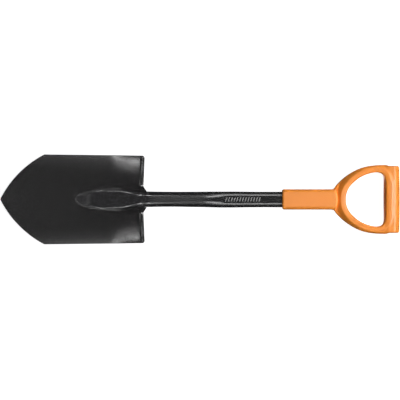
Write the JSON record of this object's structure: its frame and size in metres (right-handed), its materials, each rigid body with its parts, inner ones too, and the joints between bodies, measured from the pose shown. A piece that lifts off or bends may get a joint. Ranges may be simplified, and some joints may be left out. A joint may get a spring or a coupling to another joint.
{
  "type": "round point shovel",
  "caption": "Compact round point digging shovel: pressed steel blade with rolled foot treads, welded tube shaft and a moulded D-grip.",
  "frame": {"origin": "on the shaft's axis at the tread line, where the blade's rear edge crosses it", "axes": "+X along the shaft from the blade to the grip, +Y across the blade, +Z out of the blade's hollow face"},
  "size_m": [0.8046, 0.1812, 0.0559],
  "materials": {
    "blade_coating": "semi-gloss black powder coat",
    "shaft_coating": "semi-gloss black powder coat",
    "weld_coating": "black powder coat over a ripple of weld metal",
    "handle_plastic": "finely textured moulded orange",
    "plug_plastic": "moulded orange, a shade deeper than the handle",
    "shaft_plug_plastic": "moulded black, hidden inside the handle",
    "screw_steel": "zinc plated"
  },
  "bodies": {
    "root": {"blade": "blade_coating", "shaft": "shaft_coating", "tongue_weld": "weld_coating", "heel_weld": "weld_coating", "handle": "handle_plastic", "grip_end_plug_left": "plug_plastic", "grip_end_plug_right": "plug_plastic", "shaft_plug": "shaft_plug_plastic", "handle_screw": "screw_steel"}
  },
  "joints": []
}
